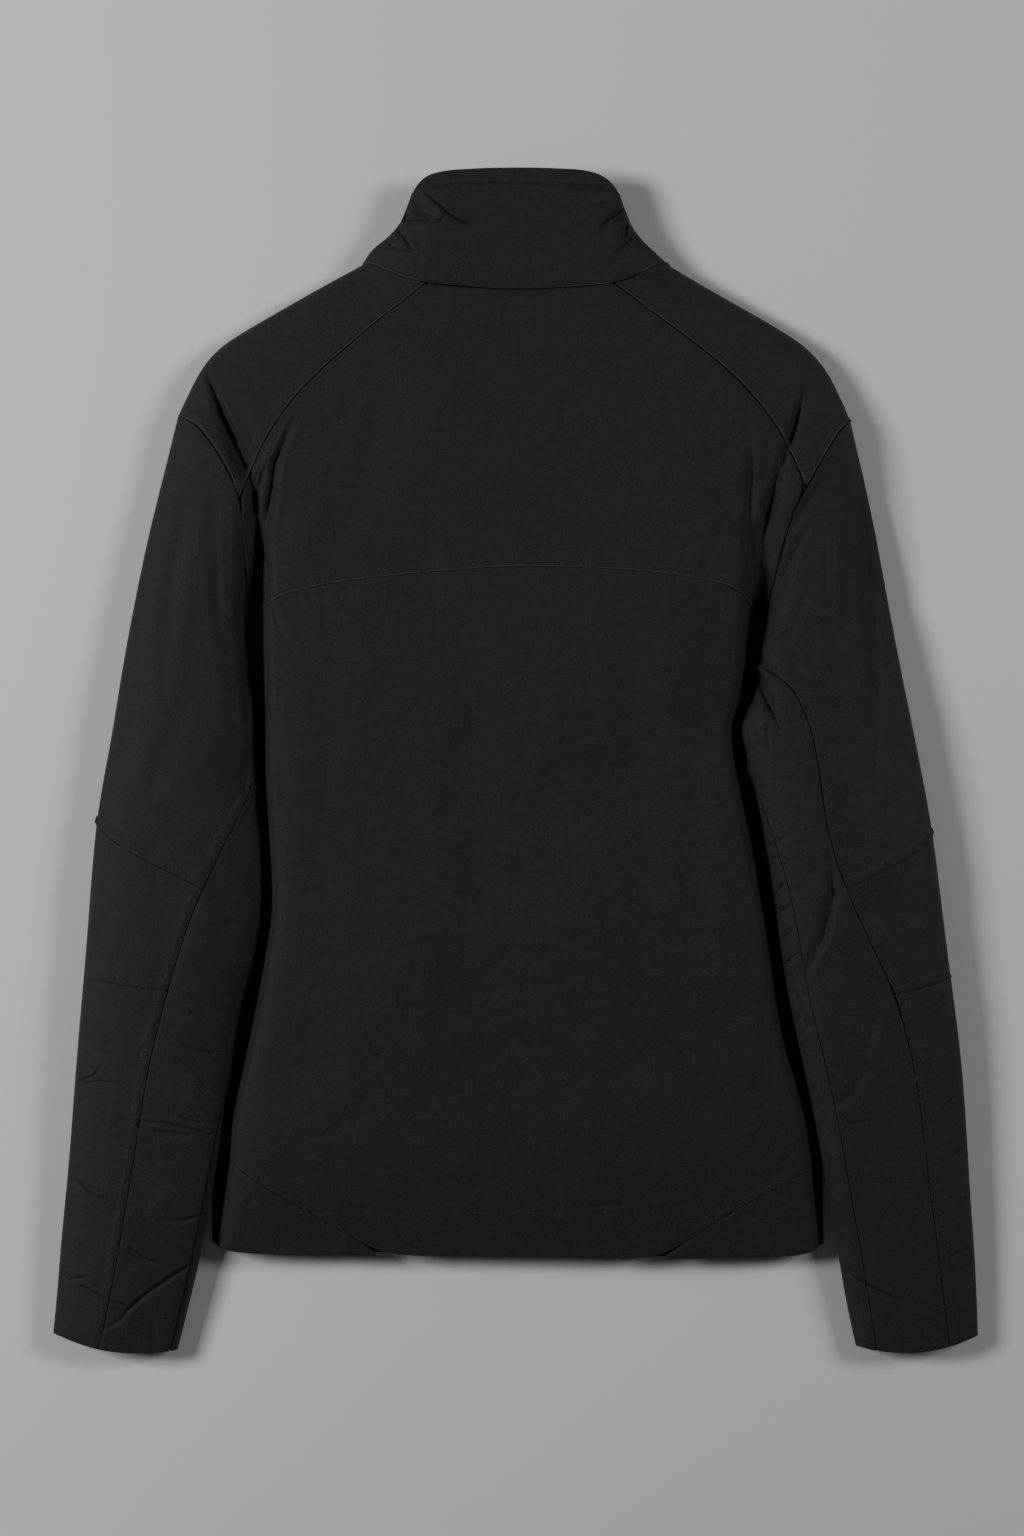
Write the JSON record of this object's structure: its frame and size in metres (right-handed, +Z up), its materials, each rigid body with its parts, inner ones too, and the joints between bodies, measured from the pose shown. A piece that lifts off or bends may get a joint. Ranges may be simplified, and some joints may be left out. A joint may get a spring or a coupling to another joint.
{
  "type": "softshell jacket",
  "caption": "Black softshell jacket with a standing collar, panelled sleeves and a front zip, laid flat on its front with the back up.",
  "frame": {"origin": "centre of the bounding box on the surface that the jacket lies on", "axes": "+X towards the wearer's right, +Y from hem to collar, +Z up, out of the back"},
  "size_m": [0.6713, 0.8559, 0.0388],
  "materials": {
    "back_yoke": "matte",
    "back_lower": "matte",
    "collar": "matte",
    "shoulder_left": "matte",
    "hem_corner_left": "matte",
    "front_left": "matte",
    "sleeve_upper_left": "matte",
    "sleeve_elbow_left": "matte",
    "sleeve_forearm_left": "matte",
    "sleeve_back_left": "matte",
    "sleeve_under_left": "matte",
    "shoulder_right": "matte",
    "hem_corner_right": "matte",
    "front_right": "matte",
    "sleeve_upper_right": "matte",
    "sleeve_elbow_right": "matte",
    "sleeve_forearm_right": "matte",
    "sleeve_back_right": "matte",
    "sleeve_under_right": "matte",
    "zip_chain": "matte",
    "zip_chain_collar": "matte",
    "zip_slider": "satin",
    "zip_pull": "satin"
  },
  "bodies": {
    "jacket": {"back_yoke": "back_yoke", "back_lower": "back_lower", "collar": "collar", "shoulder_left": "shoulder_left", "hem_corner_left": "hem_corner_left", "front_left": "front_left", "sleeve_upper_left": "sleeve_upper_left", "sleeve_elbow_left": "sleeve_elbow_left", "sleeve_forearm_left": "sleeve_forearm_left", "sleeve_back_left": "sleeve_back_left", "sleeve_under_left": "sleeve_under_left", "shoulder_right": "shoulder_right", "hem_corner_right": "hem_corner_right", "front_right": "front_right", "sleeve_upper_right": "sleeve_upper_right", "sleeve_elbow_right": "sleeve_elbow_right", "sleeve_forearm_right": "sleeve_forearm_right", "sleeve_back_right": "sleeve_back_right", "sleeve_under_right": "sleeve_under_right", "zip_chain": "zip_chain", "zip_chain_collar": "zip_chain_collar", "zip_slider": "zip_slider"},
    "pull_tab": {"zip_pull": "zip_pull"}
  },
  "joints": [
    {"name": "pull_tab_hinge", "type": "hinge", "parent": "jacket", "child": "pull_tab", "pos_m": [0, 0.38736, 0.00707], "axis": [1, 0, 0], "range_deg": [0, 150]}
  ]
}
